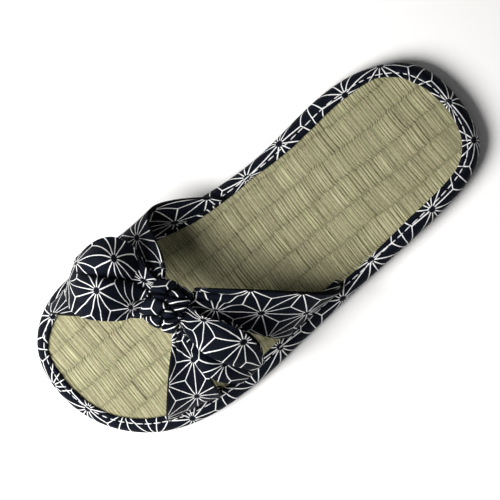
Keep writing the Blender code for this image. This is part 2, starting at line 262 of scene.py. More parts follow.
LOOP_ROOT_GAP = 2.2
LOOP_PATH_STEPS = 200
LOOP_CLOTH = 1.2
LOOP_GRID = (100, 56)
LOOP_CROWN = 1.4
LOOP_PUCKER = 0.45
LOOP_PUCKER_PITCH = 5.5
LOOP_ROLL_START = 0.45
LOOP_WIDEST = 0.62
LOWER_WIDTH = 0.94
LOWER_SHARE = 0.4
CREASE_SLOPE = 2.2
CREASE_COUNTED = 0.45
STEP_REACH = 4.0
SLIP_REACH = 1.8
LIP_PLACE = 2.4
LIP_REACH = 2.2
LIP_DEPTH = 5.0
# Painted shade in a loop's creases: how deep a crease hides its cloth wholly, and half the width that it
# hides
MAIN_CREASE_SHADE = (1.5, 1.0)
SIDE_CREASE_SHADE = (4.0, 0.8)
# Creases of each loop: a line of places out from the knot, with its depth and breadth at each
LOOP_CREASES = {
    # loop: (((run, across, depth, half_width), ...), ...)
    "bow_loop_lateral": (
        (
            (8.0, -4.5, 0.6, 1.4),
            (14.0, -7.4, 2.4, 1.4),
            (27.0, -6.2, 4.2, 1.5),
            (38.0, -2.6, 5.6, 1.8),
            (50.0, 2.0, 1.2, 3.0),
        ),
        ((8.0, 1.5, 1.6, 1.4), (20.0, 3.4, 1.2, 1.8), (34.0, 6.0, 0.0, 2.5)),
    ),
    "bow_loop_medial": (
        (
            (6.0, -0.6, 3.0, 1.6),
            (14.0, 0.0, 8.0, 1.8),
            (24.0, 0.2, 8.0, 2.0),
            (34.0, 0.6, 4.5, 2.4),
            (40.0, 1.2, 1.6, 3.0),
            (48.0, 3.0, 0.6, 3.5),
        ),
        ((6.0, 3.6, 2.4, 0.9), (12.0, 5.8, 2.6, 1.0), (18.0, 7.6, 1.4, 1.5), (26.0, 9.5, 0.0, 2.5)),
        ((6.0, 7.0, 2.0, 0.8), (12.0, 11.0, 2.6, 0.9), (17.0, 14.0, 1.0, 1.4)),
        ((6.0, -3.2, 2.6, 0.9), (12.0, -4.6, 3.2, 1.0), (18.0, -6.6, 2.2, 1.3), (27.0, -9.5, 0.0, 2.4)),
        ((6.0, -5.6, 2.4, 0.8), (12.0, -8.0, 3.0, 0.9), (18.0, -11.8, 1.8, 1.3), (24.0, -14.5, 0.0, 2.0)),
    ),
}
# How far each loop's cloth rolls down at its two edges, the lip that leans over its main crease, and
# how much lower the cloth lies on the crease's right, as a share of the crease's depth
LOOP_ROLLS = {
    # loop: (left, right, lip, step)
    "bow_loop_lateral": (2.0, 1.6, 1.8, 0.2),
    "bow_loop_medial": (3.0, 7.5, 2.4, 0.45),
}
# Place of a printed star on each loop's upper layer
LOOP_STARS = {
    # loop: (run, across)
    "bow_loop_lateral": (27.3, -6.2),
    "bow_loop_medial": (29.6, 5.5),
}
# Print on the right of each loop's main crease: how it shears, and how far it has slipped; print on the left
# of it: how far it closes up and turns toward the root
LOOP_SLIPS = {
    # loop: (shear, slip_along, slip_across, root_close, root_turn)
    "bow_loop_lateral": (0.0, 8.9, -2.5, 0.0, 0.0),
    "bow_loop_medial": (0.45, 0.0, 0.0, 0.19, 0.29),
}
LOOP_ROOT_HEIGHT = LOOP_ROOT_GAP + LOOP_WALL
LOOP_ROOT_Z = CROSS_Z + CORE_HEIGHT / 2 + GAP + LOOP_ROOT_HEIGHT / 2
KNOT_LOW = CROSS_Z - CORE_HEIGHT / 2 - GAP
KNOT_HIGH = LOOP_ROOT_Z + LOOP_ROOT_HEIGHT / 2 + GAP

# Print: stars of the hemp-leaf lattice
STAR_PITCH = 22.0
STAR_LINE = 0.49
STAR_HUB = 1.7
# Binding: a bias strip, so its lattice is turned; where it has slipped along its run
BIAS_TURN = 21.0
BIAS_STRETCH = 0.92
BIAS_START = (14.0, 8.5)
BIAS_SLIPS = (
    # along, slip_along, slip_across
    (17.2, -5.6, 0.1),
    (77.0, -1.1, 3.2),
    (114.2, 1.9, 1.3),
    (136.6, 1.6, 1.0),
    (175.8, 2.6, -0.9),
    (199.3, 2.6, 1.9),
    (238.3, 2.9, -2.2),
    (281.1, -0.1, -5.0),
    (304.3, 1.0, 0.2),
    (347.0, -1.1, -0.7),
    (369.2, -0.6, 0.2),
    (410.8, -1.9, -1.4),
    (433.3, -0.1, 3.7),
    (560.0, 0.7, 6.5),
)

# View of the photograph and light, in metres, degrees and watts
VIEW_TARGET = (0.0006, 0.0029, 0.0)
VIEW_LEAN_ACROSS = 3.0
VIEW_LEAN_ALONG = 12.0
VIEW_ROLL = 129.2
VIEW_DISTANCE = 1.0
VIEW_HALF_SPREAD = 0.1244
KEY_PLACE = (0.07, 0.38, 0.47)
KEY_AIM = (0.0, 0.02, 0.02)
KEY_SIZE = 0.50
KEY_POWER = 7.4
KEY_COLOUR = (1.0, 0.99, 0.97)
FILL_LIGHT = 0.115
FLOOR_SIZE = 12.0
FLOOR_DROP = 0.0004


def run_length(line):
    """Distance along a line of points, from its first."""
    return np.concatenate([[0], np.cumsum(np.linalg.norm(np.diff(line, axis=0), axis=1))])


def columns_at(at, stations, table):
    """A table's columns, read between its stations."""
    return np.stack([np.interp(at, stations, column) for column in table.T], axis=1)


def closed_spline(points, count):
    """Even points along a smooth closed curve, its outward directions and its length."""
    knots = np.array(points, float)
    total = len(knots)
    spans = np.linalg.norm(np.roll(knots, -1, axis=0) - knots, axis=1)
    system = np.zeros((total, total))
    right = np.zeros((total, 2))
    for i in range(total):
        before = spans[i - 1]
        after = spans[i]
        system[i, i - 1] += after
        system[i, i] += 2 * (before + after)
        system[i, (i + 1) % total] += before
        into = (knots[i] - knots[i - 1]) / before
        out = (knots[(i + 1) % total] - knots[i]) / after
        right[i] = 3 * (after * into + before * out)
    slopes = np.linalg.solve(system, right)
    dense = []
    for i in range(total):
        j = (i + 1) % total
        for t in np.linspace(0, 1, SPLINE_STEPS, endpoint=False):
            a = 2 * t ** 3 - 3 * t ** 2 + 1
            b = t ** 3 - 2 * t ** 2 + t
            c = -2 * t ** 3 + 3 * t ** 2
            d = t ** 3 - t ** 2
            ends = a * knots[i] + c * knots[j]
            dense.append(ends + spans[i] * (b * slopes[i] + d * slopes[j]))
    dense = np.array(dense + dense[:1])
    run = run_length(dense)
    places = np.linspace(0, run[-1], count, endpoint=False)
    curve = columns_at(places, run, dense)
    along = np.roll(curve, -1, axis=0) - np.roll(curve, 1, axis=0)
    outward = np.stack([along[:, 1], -along[:, 0]], axis=1)
    outward /= np.linalg.norm(outward, axis=1)[:, None]
    return curve, outward, run[-1]


SOLE_CURVE, SOLE_OUT, SOLE_ROUND = closed_spline([(x, y) for _, x, y in OUTLINE], OUTLINE_FINE)


def sole_side(y, side):
    """Point of the sole's edge at a place along it, on the outer (-1) or inner (+1) side."""
    near = np.where(np.sign(SOLE_CURVE[:, 0]) == side, np.abs(SOLE_CURVE[:, 1] - y), np.inf)
    best = int(np.argmin(near))
    return SOLE_CURVE[best], SOLE_OUT[best]


def around_sole(share):
    """Points and outward directions of the sole's edge at shares of the way round it."""
    stations = np.linspace(0, 1, OUTLINE_FINE + 1)
    curve = np.concatenate([SOLE_CURVE, SOLE_CURVE[:1]])
    outward = np.concatenate([SOLE_OUT, SOLE_OUT[:1]])
    place = columns_at(share % 1.0, stations, curve)
    out = columns_at(share % 1.0, stations, outward)
    return place, out / np.linalg.norm(out, axis=1)[:, None]


def smooth_step(share):
    """Zero to one, with a soft start and end."""
    share = np.clip(share, 0.0, 1.0)
    return share * share * (3 - 2 * share)


def soft_trough(offset, half_width):
    """Soft crease: one at its line, fading out to both sides."""
    return np.exp(-(offset / half_width) ** 2)


def raised(surface, along, across, height):
    """Points of a surface moved out along its own normal."""
    small = 0.0005
    run = surface(along + small, across) - surface(along - small, across)
    over = surface(along, across + small) - surface(along, across - small)
    normal = np.cross(run, over)
    normal /= np.linalg.norm(normal, axis=1)[:, None] + 1e-12
    return surface(along, across) + normal * height[:, None]


def read_values(items, key, width=1, kind=float):
    """Values of a mesh's items, a row for each where there are several."""
    values = np.empty(len(items) * width, kind)
    items.foreach_get(key, values)
    return values if width == 1 else values.reshape(-1, width)


def active_only(piece):
    """Select one piece alone and make it the active one."""
    bpy.ops.object.select_all(action="DESELECT")
    piece.select_set(True)
    bpy.context.view_layer.objects.active = piece


def keep_share(mesh, name, values):
    """Keep a share for each point of a mesh, for its material to read."""
    mesh.attributes.new(name, "FLOAT", "POINT").data.foreach_set("value", values)


def cloth_grid(name, steps, shape, flat, painted_shade=None):
    """Grid laid on a shape, with the flat cloth's own coordinates in metres as its UV map.

    A further function gives the share of cloth hidden in a crease or hem, kept as an attribute for painted
    shade.
    """
    bpy.ops.object.select_all(action="DESELECT")
    bpy.ops.mesh.primitive_grid_add(x_subdivisions=steps[0], y_subdivisions=steps[1], size=2.0)
    piece = bpy.context.object
    piece.name = name
    mesh = piece.data
    mesh.name = name
    corners = read_values(mesh.vertices, "co", 3)
    along = (corners[:, 0] + 1) / 2
    across = (corners[:, 1] + 1) / 2
    placed = (shape(along, across) - BOX_MIDDLE) * MM
    mesh.vertices.foreach_set("co", placed.ravel())
    of_loop = read_values(mesh.loops, "vertex_index", kind=int)
    spread = np.stack(flat(along, across), axis=1) * MM
    mesh.uv_layers.active.data.foreach_set("uv", spread[of_loop].ravel())
    if painted_shade:
        keep_share(mesh, "painted_shade", painted_shade(along, across))
    mesh.update()
    return piece


def add_modifier(piece, kind, **settings):
    """Add a modifier with these settings and apply it."""
    active_only(piece)
    made = piece.modifiers.new(kind.lower(), kind)
    for key, value in settings.items():
        setattr(made, key, value)
    bpy.ops.object.modifier_apply(modifier=made.name)


def thicken(piece, thickness, offset, rounding):
    """Give a sheet its thickness in millimetres and a soft edge."""
    add_modifier(
        piece, "SOLIDIFY", thickness=thickness * MM, offset=offset, use_even_offset=False, material_offset=1
    )
    if rounding:
        add_modifier(piece, "SUBSURF", levels=rounding, render_levels=rounding)
    active_only(piece)
    bpy.ops.object.shade_smooth()


def face_out(piece, merge=0.0):
    """Turn a piece's faces outward, once edges that meet within a reach are merged."""
    active_only(piece)
    bpy.ops.object.mode_set(mode="EDIT")
    bpy.ops.mesh.select_all(action="SELECT")
    if merge:
        bpy.ops.mesh.remove_doubles(threshold=merge * MM)
    bpy.ops.mesh.normals_make_consistent(inside=False)
    bpy.ops.object.mode_set(mode="OBJECT")


def finish_piece(piece, material, slot, *nodes):
    """Give a piece its one material, its body, and the nodes that it stands for; the slot argument is not
    used.
    """
    piece.data.materials.clear()
    piece.data.materials.append(material)
    piece.data.polygons.foreach_set("material_index", np.zeros(len(piece.data.polygons), int))
    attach(piece, "root")
    if nodes:
        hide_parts(*nodes)


class Nodes:
    """Short hand for wiring a material's nodes."""

    def __init__(self, name):
        self.material = bpy.data.materials.new(name)
        self.material.use_nodes = True
        self.tree = self.material.node_tree
        self.shader = self.tree.nodes["Principled BSDF"]

    def link(self, source, socket):
        if hasattr(source, "is_output"):
            self.tree.links.new(source, socket)
        else:
            socket.default_value = source

    def add(self, kind, **settings):
        node = self.tree.nodes.new(kind)
        for key, value in settings.items():
            setattr(node, key, value)
        return node

    def math(self, operation, first, second=0.0):
        node = self.add("ShaderNodeMath", operation=operation)
        self.link(first, node.inputs[0])
        self.link(second, node.inputs[1])
        return node.outputs[0]

    def vector(self, operation, first, second=(0.0, 0.0, 0.0)):
        node = self.add("ShaderNodeVectorMath", operation=operation)
        self.link(first, node.inputs[0])
        self.link(second, node.inputs[1])
        return node.outputs["Value" if operation == "LENGTH" else "Vector"]

    def times(self, first, second):
        return self.math("MULTIPLY", first, second)

    def parts(self, vector):
        node = self.add("ShaderNodeSeparateXYZ")
        self.link(vector, node.inputs[0])
        return node.outputs

    def mix(self, share, first, second, kind="RGBA"):
        node = self.add("ShaderNodeMix", data_type=kind)
        into, out = {"RGBA": (6, 2), "VECTOR": (4, 1)}[kind]
        self.link(share, node.inputs[0])
        self.link(first, node.inputs[into])
        self.link(second, node.inputs[into + 1])
        return node.outputs[out]

    def noise(self, place, scale, detail=2.0, roughness=0.5):
        node = self.add("ShaderNodeTexNoise", noise_dimensions="3D")
        self.link(place, node.inputs["Vector"])
        node.inputs["Scale"].default_value = scale
        node.inputs["Detail"].default_value = detail
        node.inputs["Roughness"].default_value = roughness
        return node.outputs["Fac"]

    def steps(self, value, low, high):
        """Zero at low, one at high, smooth between."""
        node = self.add("ShaderNodeMapRange", interpolation_type="SMOOTHSTEP")
        self.link(value, node.inputs["Value"])
        node.inputs["From Min"].default_value = low
        node.inputs["From Max"].default_value = high
        return node.outputs["Result"]

    def bump(self, height, strength, distance):
        node = self.add("ShaderNodeBump")
        node.inputs["Strength"].default_value = strength
        node.inputs["Distance"].default_value = distance
        self.link(height, node.inputs["Height"])
        self.link(node.outputs["Normal"], self.shader.inputs["Normal"])

    def surface(self, colour, **values):
        """Wire the colour and set what is the same all over; a socket's words are joined by low lines."""
        self.link(colour, self.shader.inputs["Base Color"])
        for words, value in values.items():
            self.shader.inputs[words.replace("_", " ")].default_value = value
        return self.material


def printed_cotton():
    """Navy cotton with the white hemp-leaf lattice on the cloth's own coordinates, and painted shade in
    creases and hems.
    """
    n = Nodes("printed_cotton")
    cloth = n.add("ShaderNodeUVMap").outputs["UV"]
    pitch = STAR_PITCH * MM
    cell = (pitch, pitch * math.sqrt(3), 1.0)
    half = (0.5, 0.5, 0.5)

    def from_centre(shift):
        turns = n.vector("DIVIDE", n.vector("ADD", cloth, shift), cell)
        inside = n.vector("SUBTRACT", n.vector("FRACTION", n.vector("ADD", turns, half)), half)
        return n.vector("MULTIPLY", n.vector("MULTIPLY", inside, cell), (1.0, 1.0, 0.0))

    first = from_centre((0.0, 0.0, 0.0))
    second = from_centre((cell[0] / 2, cell[1] / 2, 0.0))
    nearer = n.math("LESS_THAN", n.vector("LENGTH", second), n.vector("LENGTH", first))
    offset = n.mix(nearer, first, second, "VECTOR")
    radius = n.vector("LENGTH", offset)
    place = n.parts(offset)
    angle = n.math("ARCTAN2", place["Y"], place["X"])
    turn = math.radians(30.0)
    folded = n.math("PINGPONG", angle, turn / 2)
    # Ping-pong folds the angle between a ray and the half-way line to the next one
    from_ray = n.times(radius, n.math("SINE", folded))
    wobble = n.times(n.math("SUBTRACT", n.noise(cloth, 700.0), 0.5), 0.00025)
    from_ray = n.math("ADD", from_ray, wobble)
    line = n.math("SUBTRACT", 1.0, n.steps(from_ray, 0.36 * STAR_LINE * MM, 0.62 * STAR_LINE * MM))
    outside_hub = n.steps(radius, 0.85 * STAR_HUB * MM, 1.15 * STAR_HUB * MM)
    # Painted shade: where the cloth lies in a crease or at a hem, its white lines fade out
    painted_shade = n.add("ShaderNodeAttribute", attribute_name="painted_shade").outputs["Fac"]
    unshaded = n.steps(painted_shade, 0.75, 0.35)
    mask = n.times(unshaded, n.times(line, outside_hub))
    slub = n.noise(n.vector("MULTIPLY", cloth, (1.0, 6.0, 1.0)), 420.0, 3.0)
    navy = n.mix(slub, (0.0020, 0.0029, 0.0062, 1.0), (0.0048, 0.0062, 0.0120, 1.0))
    white = n.mix(slub, (0.80, 0.81, 0.82, 1.0), (0.93, 0.93, 0.93, 1.0))
    # Painted shade: the navy turns near black in creases and at hems
    shaded = n.mix(painted_shade, navy, (0.0008, 0.0010, 0.0016, 1.0))
    threads = n.parts(n.vector("MULTIPLY", cloth, (14000.0, 14000.0, 0.0)))
    weave = n.times(n.math("SINE", threads["X"]), n.math("SINE", threads["Y"]))
    height = n.math("ADD", n.times(weave, 0.5), n.times(slub, 0.8))
    n.bump(height, 0.35, 0.0002)
    return n.surface(
        n.mix(mask, shaded, white),
        Roughness=0.60,
        Specular_IOR_Level=0.050,
        Specular_Tint=(0.80, 0.90, 1.0, 1.0),
        Sheen_Weight=0.006,
        Sheen_Roughness=0.5,
        Sheen_Tint=(0.72, 0.76, 1.0, 1.0),
    )


def sewing_thread():
    """White cotton thread with its twist, and painted shade in the twist's grooves; the UV map runs round
    the thread and along it.
    """
    n = Nodes("sewing_thread")
    place = n.parts(n.add("ShaderNodeUVMap").outputs["UV"])
    turns = n.math("ADD", n.times(place["X"], 2.0), n.times(place["Y"], 7.0))
    twist = n.math("SINE", n.times(turns, 2 * math.pi))
    ply_and_groove_shade = n.steps(twist, -1.0, 0.6)
    n.bump(ply_and_groove_shade, 0.5, 0.0002)
    # Painted shade: the thread is darker in the grooves between its plies
    white = n.mix(ply_and_groove_shade, (0.55, 0.56, 0.58, 1.0), (0.90, 0.90, 0.90, 1.0))
    return n.surface(white, Roughness=0.75, Specular_IOR_Level=0.1)


def woven_rush():
    """Dried rush stems, each its own shade, with painted highlights and painted shade between; the UV map
    counts columns and stems.
    """
    n = Nodes("woven_rush")
    weave = n.add("ShaderNodeUVMap").outputs["UV"]
    within = n.parts(n.vector("FRACTION", weave))
    own = n.add("ShaderNodeTexWhiteNoise", noise_dimensions="2D")
    n.link(n.vector("FLOOR", weave), own.inputs["Vector"])
    split = n.add("ShaderNodeSeparateColor")
    n.link(own.outputs["Color"], split.inputs[0])
    shade, tint_and_highlight, tint_and_groove_shade = split.outputs

    def part_of(value, least, most):
        return n.math("ADD", least, n.times(value, most - least))

    def from_middle(value):
        return n.math("ABSOLUTE", n.math("SUBTRACT", value, 0.5))

    proud = n.add("ShaderNodeAttribute", attribute_name="proud").outputs["Fac"]
    place = n.add("ShaderNodeTexCoord").outputs["Object"]
    fibre = n.noise(n.vector("MULTIPLY", place, (60.0, 2600.0, 60.0)), 1.0, 3.0, 0.6)
    speck = n.noise(n.vector("MULTIPLY", place, (520.0, 1500.0, 520.0)), 1.0, 3.0, 0.7)
    patch = n.noise(place, 45.0, 2.0)
    # Each stem is fullest in the middle of its column and pinched at the warp threads
    full = n.math("SINE", n.times(within["X"], math.pi))
    stem_edge = from_middle(within["Y"])
    straw = n.mix(shade, (0.225, 0.210, 0.120, 1.0), (0.330, 0.308, 0.178, 1.0))
    tints = (
        # what varies, none at, full at, share, colour
        (tint_and_highlight, 0.75, 1.0, 1.0, (0.235, 0.245, 0.122, 1.0)),
        (tint_and_groove_shade, 0.95, 1.0, 0.4, (0.33, 0.27, 0.19, 1.0)),
        (fibre, 0.55, 0.75, 0.45, (0.46, 0.44, 0.27, 1.0)),
        (fibre, 0.47, 0.28, 0.45, (0.120, 0.110, 0.056, 1.0)),
        (patch, 0.45, 0.75, 0.25, (0.225, 0.215, 0.130, 1.0)),
        (speck, 0.53, 0.70, 0.55, (0.46, 0.44, 0.28, 1.0)),
        (speck, 0.47, 0.30, 0.55, (0.105, 0.098, 0.050, 1.0)),
    )
    for varies, none_at, full_at, share, colour in tints:
        straw = n.mix(n.times(n.steps(varies, none_at, full_at), share), straw, colour)
    # Painted highlight along the middle of each stem, stronger on proud blocks
    highlight_strength = n.times(part_of(n.steps(tint_and_highlight, 0.2, 0.9), 0.10, 0.70), part_of(proud, 0.45, 1.0))
    painted_highlight = n.times(n.steps(stem_edge, 0.30, 0.05), n.times(full, highlight_strength))
    highlighted = n.mix(painted_highlight, straw, (0.56, 0.54, 0.34, 1.0))
    # Painted shade in the grooves between stems, deeper on proud blocks
    depth = n.times(part_of(tint_and_groove_shade, 0.30, 0.95), part_of(proud, 0.85, 1.0))
    pinched = n.math("SUBTRACT", stem_edge, n.times(full, 0.09))
    groove_shade = n.times(n.steps(pinched, 0.27, 0.41), depth)
    groove_shaded = n.mix(groove_shade, highlighted, (0.060, 0.055, 0.026, 1.0))
    at_warp = n.steps(from_middle(within["X"]), 0.43, 0.485)
    dotted = n.times(part_of(n.steps(stem_edge, 0.15, 0.40), 0.12, 1.0), part_of(shade, 0.2, 0.8))
    warp = n.times(at_warp, dotted)
    n.bump(n.math("ADD", fibre, n.times(speck, 0.6)), 0.35, 0.0003)
    tied = n.mix(warp, groove_shaded, (0.055, 0.050, 0.026, 1.0))
    return n.surface(tied, Roughness=0.60, Specular_IOR_Level=0.18)


def sole_sheet():
    """Dark matt tread sheet with a fine pebble grain."""
    n = Nodes("sole_sheet")
    place = n.add("ShaderNodeTexCoord").outputs["Object"]
    grain = n.add("ShaderNodeTexVoronoi", feature="SMOOTH_F1")
    n.link(place, grain.inputs["Vector"])
    grain.inputs["Scale"].default_value = 620.0
    cloud = n.noise(place, 60.0, 3.0)
    n.bump(grain.outputs["Distance"], 0.5, 0.0004)
    dark = n.mix(cloud, (0.034, 0.034, 0.037, 1.0), (0.060, 0.059, 0.060, 1.0))
    return n.surface(dark, Roughness=0.78)


def binding_section():
    """Outer side of the binding's section, from its inner top edge round to its inner bottom edge."""
    angles = np.radians(np.linspace(90, -90, 60))
    inset = EDGE_ROUND * (1 - np.cos(angles))
    height = EDGE_MIDDLE + EDGE_HALF * np.sin(angles)
    inset = np.concatenate([[BINDING_WIDTH], inset, [BINDING_WIDTH]])
    height = np.concatenate([[BINDING_TOP], height, [BINDING_BOTTOM]])
    return inset, height, run_length(np.stack([inset, height], axis=1))


def sole_bend():
    """How tightly the sole's edge turns at each of its points, evened out."""
    turned = np.unwrap(np.arctan2(SOLE_OUT[:, 1], SOLE_OUT[:, 0]))
    bend = np.abs(np.gradient(turned)) * OUTLINE_FINE / SOLE_ROUND
    return np.convolve(np.concatenate([bend[-40:], bend, bend[:40]]), np.ones(81) / 81, "valid")


SECTION_INSET, SECTION_HEIGHT, SECTION_RUN = binding_section()
SOLE_BEND = sole_bend()


def binding_place(along, at):
    """Points of the binding's face at shares of the way round the sole and runs out from its inner edge."""
    place, out = around_sole(along)
    run = along * SOLE_ROUND
    inset = np.interp(at, SECTION_RUN, SECTION_INSET)
    height = np.interp(at, SECTION_RUN, SECTION_HEIGHT)
    tight = np.interp(along % 1.0, np.arange(OUTLINE_FINE) / OUTLINE_FINE, SOLE_BEND)
    tight = np.clip(tight / TIGHT_BEND, 0.0, 1.3)
    edge = np.interp(run, *np.transpose(BINDING_WANDER), period=SOLE_ROUND)
    inset = inset + edge * np.exp(-at / WANDER_REACH)
    uneven = 1.6 * np.sin(2 * math.pi * run / 33.0)
    pucker = np.sin(2 * math.pi * run / PUCKER_PITCH + uneven) * (PUCKER_DEPTH + PUCKER_MORE * tight)
    slack = 0.12 * np.sin(2 * math.pi * run / 27.0 + 0.6)
    sewn = STITCH_RIDGE * soft_trough(at - STITCH_INSET / 2, 1.0)
    sewn = sewn - STITCH_SUNK * soft_trough(at - STITCH_INSET, STITCH_TROUGH)
    rolled = -EDGE_ROLL * soft_trough(at, EDGE_ROLL)
    top = np.clip((height - EDGE_MIDDLE) / EDGE_HALF, 0.0, 1.0)
    height = height + (pucker * np.exp(-at / PUCKER_REACH) + slack + sewn + rolled) * top
    flat = place - out * inset[:, None]
    return np.stack([flat[:, 0], flat[:, 1], height], axis=1)


def make_binding(cotton):
    """Folded cotton strip round the edge, puckered where the sole turns tightly."""
    width = SECTION_RUN[-1]
    turn = math.radians(BIAS_TURN)
    slips = np.array(BIAS_SLIPS)

    def shape(along, across):
        return binding_place(along, across * width)

    def flat(along, across):
        run = along * SOLE_ROUND
        at = -across * width
        over = run * BIAS_STRETCH
        slip = columns_at(run, slips[:, 0], slips[:, 1:])
        u = over * math.cos(turn) + at * math.sin(turn) + BIAS_START[0] + slip[:, 0]
        v = at * math.cos(turn) - over * math.sin(turn) + BIAS_START[1] + slip[:, 1]
        return u, v

    piece = cloth_grid("edge_binding", BINDING_GRID, shape, flat)
    face_out(piece, SEAM_REACH)
    thicken(piece, BINDING_CLOTH, -1.0, 0)
    finish_piece(piece, cotton, "printed_cotton", "binding")


def make_stitches(thread):
    """Run of stitches that holds the binding's inner edge down on the mat."""
    bpy.ops.object.select_all(action="DESELECT")
    bpy.ops.mesh.primitive_uv_sphere_add(segments=10, ring_count=12, radius=0.5)
    first = bpy.context.object
    bpy.ops.object.mode_set(mode="EDIT")
    bpy.ops.mesh.select_all(action="SELECT")
    bpy.ops.transform.rotate(value=math.pi / 2, orient_axis="Y", center_override=(0.0, 0.0, 0.0))
    bpy.ops.transform.resize(value=(STITCH_LENGTH * MM, STITCH_WIDTH * MM, STITCH_HEIGHT * MM))
    bpy.ops.object.mode_set(mode="OBJECT")
    bpy.ops.object.shade_smooth()
    count = round(SOLE_ROUND / STITCH_PITCH)
    middles = (np.arange(count) + 0.5) / count
    reach = 0.5 * STITCH_LENGTH / SOLE_ROUND
    inset = np.full(count, STITCH_INSET)
    starts, centres, ends = (
        (binding_place(middles + shift, inset) - BOX_MIDDLE) * MM for shift in (-reach, 0.0, reach)
    )
    copies = []
    for start, centre, end in zip(starts, centres, ends):
        copy = first.copy()
        copy.data = first.data.copy()
        bpy.context.collection.objects.link(copy)
        ahead = Vector(end - start).normalized()
        aside = Vector((0.0, 0.0, 1.0)).cross(ahead).normalized()
        turned = Matrix((ahead, aside, ahead.cross(aside))).transposed().to_4x4()
        copy.matrix_world = Matrix.Translation(Vector(centre)) @ turned
        copies.append(copy)
    bpy.data.objects.remove(first)
    active_only(copies[0])
    for copy in copies:
        copy.select_set(True)
    bpy.ops.object.join()
    bpy.ops.object.transform_apply(location=True, rotation=True, scale=True)
    piece = bpy.context.object
    piece.name = "binding_stitches"
    piece.data.name = piece.name
    finish_piece(piece, thread, "printed_cotton")


def stem_place(x, y):
    """Column and stem counts of the weave at a place on the mat, with its slow wander."""
    drift = 0.5 * np.sin(y / 17.0 + 0.6) + 0.35 * np.sin(y / 7.3)
    column = (x - COLUMN_START + drift) / COLUMN_WIDTH
    sway = 0.55 * np.sin(x / 21.0 + y / 47.0) + 0.25 * np.sin(x / 6.1 + np.floor(column) * 2.1 + y / 29.0)
    stem = (y + sway) / STEM_PITCH
    own = scatter(np.floor(column), 5.0)
    stem = stem + 3.0 * own
    uneven = 0.16 * np.sin(2 * math.pi * stem / 2.7 + 6.0 * own)
    stem = stem + uneven + 0.10 * np.sin(2 * math.pi * stem / 1.7 + 12.0 * own)
    ragged = scatter(np.floor(stem), np.floor(column + 0.5))
    return column + 0.10 * (ragged - 0.5), stem


def scatter(first, second):
    """A steady random share for each pair of whole numbers."""
    value = np.sin(first * 12.9898 + second * 78.233) * 43758.5453
    return value - np.floor(value)


def round_stem(stem):
    """Height of a stem's round top at a place counted in stems."""
    return np.sqrt(np.clip(1 - (2 * (stem - np.floor(stem)) - 1) ** 2, 0.0, 1.0))


def block_lift(column, stem):
    """Blocks of stems that stand proud, about every other one."""
    whole = np.floor(column)
    block = np.floor(stem / BLOCK_STEMS + 0.5 * whole)
    proud = (whole + block) % 2
    turned = scatter(whole + 3.0, block) > BLOCK_TURNED
    return np.where(turned, 1 - proud, proud).astype(float)


def make_mat(rush):
    """Heightfield of the woven stems, trimmed to the sole's outline and closed below."""
    width = SOLE_CURVE[:, 0].max() - SOLE_CURVE[:, 0].min()
    length = SOLE_CURVE[:, 1].max() - SOLE_CURVE[:, 1].min()
    corner = SOLE_CURVE.min(axis=0)

    def shape(along, across):
        x = corner[0] + along * width
        y = corner[1] + across * length
        column, stem = stem_place(x, y)
        in_column = column - np.floor(column)
        bulge = np.sin(math.pi * in_column) ** 0.7
        own = scatter(np.floor(stem), np.floor(column))
        proud = block_lift(column, stem)
        least, spread = (np.where(proud > 0.5, high, low) for high, low in zip(STEM_PROUD, STEM_LOW))
        woven = round_stem(stem) * (least + spread * own)
        height = MAT_TOP - STEM_SUNK + STEM_HEIGHT * (0.25 + 0.75 * bulge) * (BLOCK_LIFT * proud + woven)
        return np.stack([x, y, height], axis=1)

    def flat(along, across):
        column, stem = stem_place(corner[0] + along * width, corner[1] + across * length)
        return column / MM, stem / MM

    steps = (round(width / MAT_STEP_ACROSS), round(length / MAT_STEP_ALONG))
    piece = cloth_grid("rush_mat", steps, shape, flat)
    mesh = piece.data
    flat_places = read_values(mesh.vertices, "co", 3)[:, :2] / MM + BOX_MIDDLE[:2]
    keep_share(mesh, "proud", block_lift(*stem_place(flat_places[:, 0], flat_places[:, 1])))
    rim = SOLE_CURVE - SOLE_OUT * MAT_INSET
    kept = inside_outline(flat_places, rim)
    active_only(piece)
    bpy.ops.object.mode_set(mode="EDIT")
    bpy.ops.mesh.select_all(action="DESELECT")
    bpy.ops.object.mode_set(mode="OBJECT")
    mesh.vertices.foreach_set("select", ~kept)
    bpy.ops.object.mode_set(mode="EDIT")
    bpy.ops.mesh.select_mode(type="VERT")
    bpy.ops.mesh.delete(type="VERT")
    bpy.ops.mesh.select_mode(type="EDGE")
    bpy.ops.mesh.select_all(action="DESELECT")
    bpy.ops.mesh.select_non_manifold()
    bpy.ops.mesh.extrude_region_move(TRANSFORM_OT_translate={"value": (0.0, 0.0, -MAT_DEPTH * MM)})
    bpy.ops.mesh.edge_face_add()
    bpy.ops.object.mode_set(mode="OBJECT")
    face_out(piece)
    bpy.ops.object.shade_smooth_by_angle(angle=math.radians(75))
    finish_piece(piece, rush, "woven_rush", "insole")


def inside_outline(points, rim):
    """Which points lie inside a closed outline, by counting crossings."""
    inside = np.zeros(len(points), bool)
    ends = np.roll(rim, -1, axis=0)
    for start, end in zip(rim, ends):
        spans = (start[1] > points[:, 1]) != (end[1] > points[:, 1])
        slope = (end[0] - start[0]) / (end[1] - start[1] + 1e-12)
        inside ^= spans & (points[:, 0] < start[0] + slope * (points[:, 1] - start[1]))
    return inside


def bezier(controls, t):
    """Points of a cubic curve at shares of the way along it."""
    p0, p1, p2, p3 = controls
    t = t[:, None]
    return (1 - t) ** 3 * p0 + 3 * (1 - t) ** 2 * t * p1 + 3 * (1 - t) * t ** 2 * p2 + t ** 3 * p3


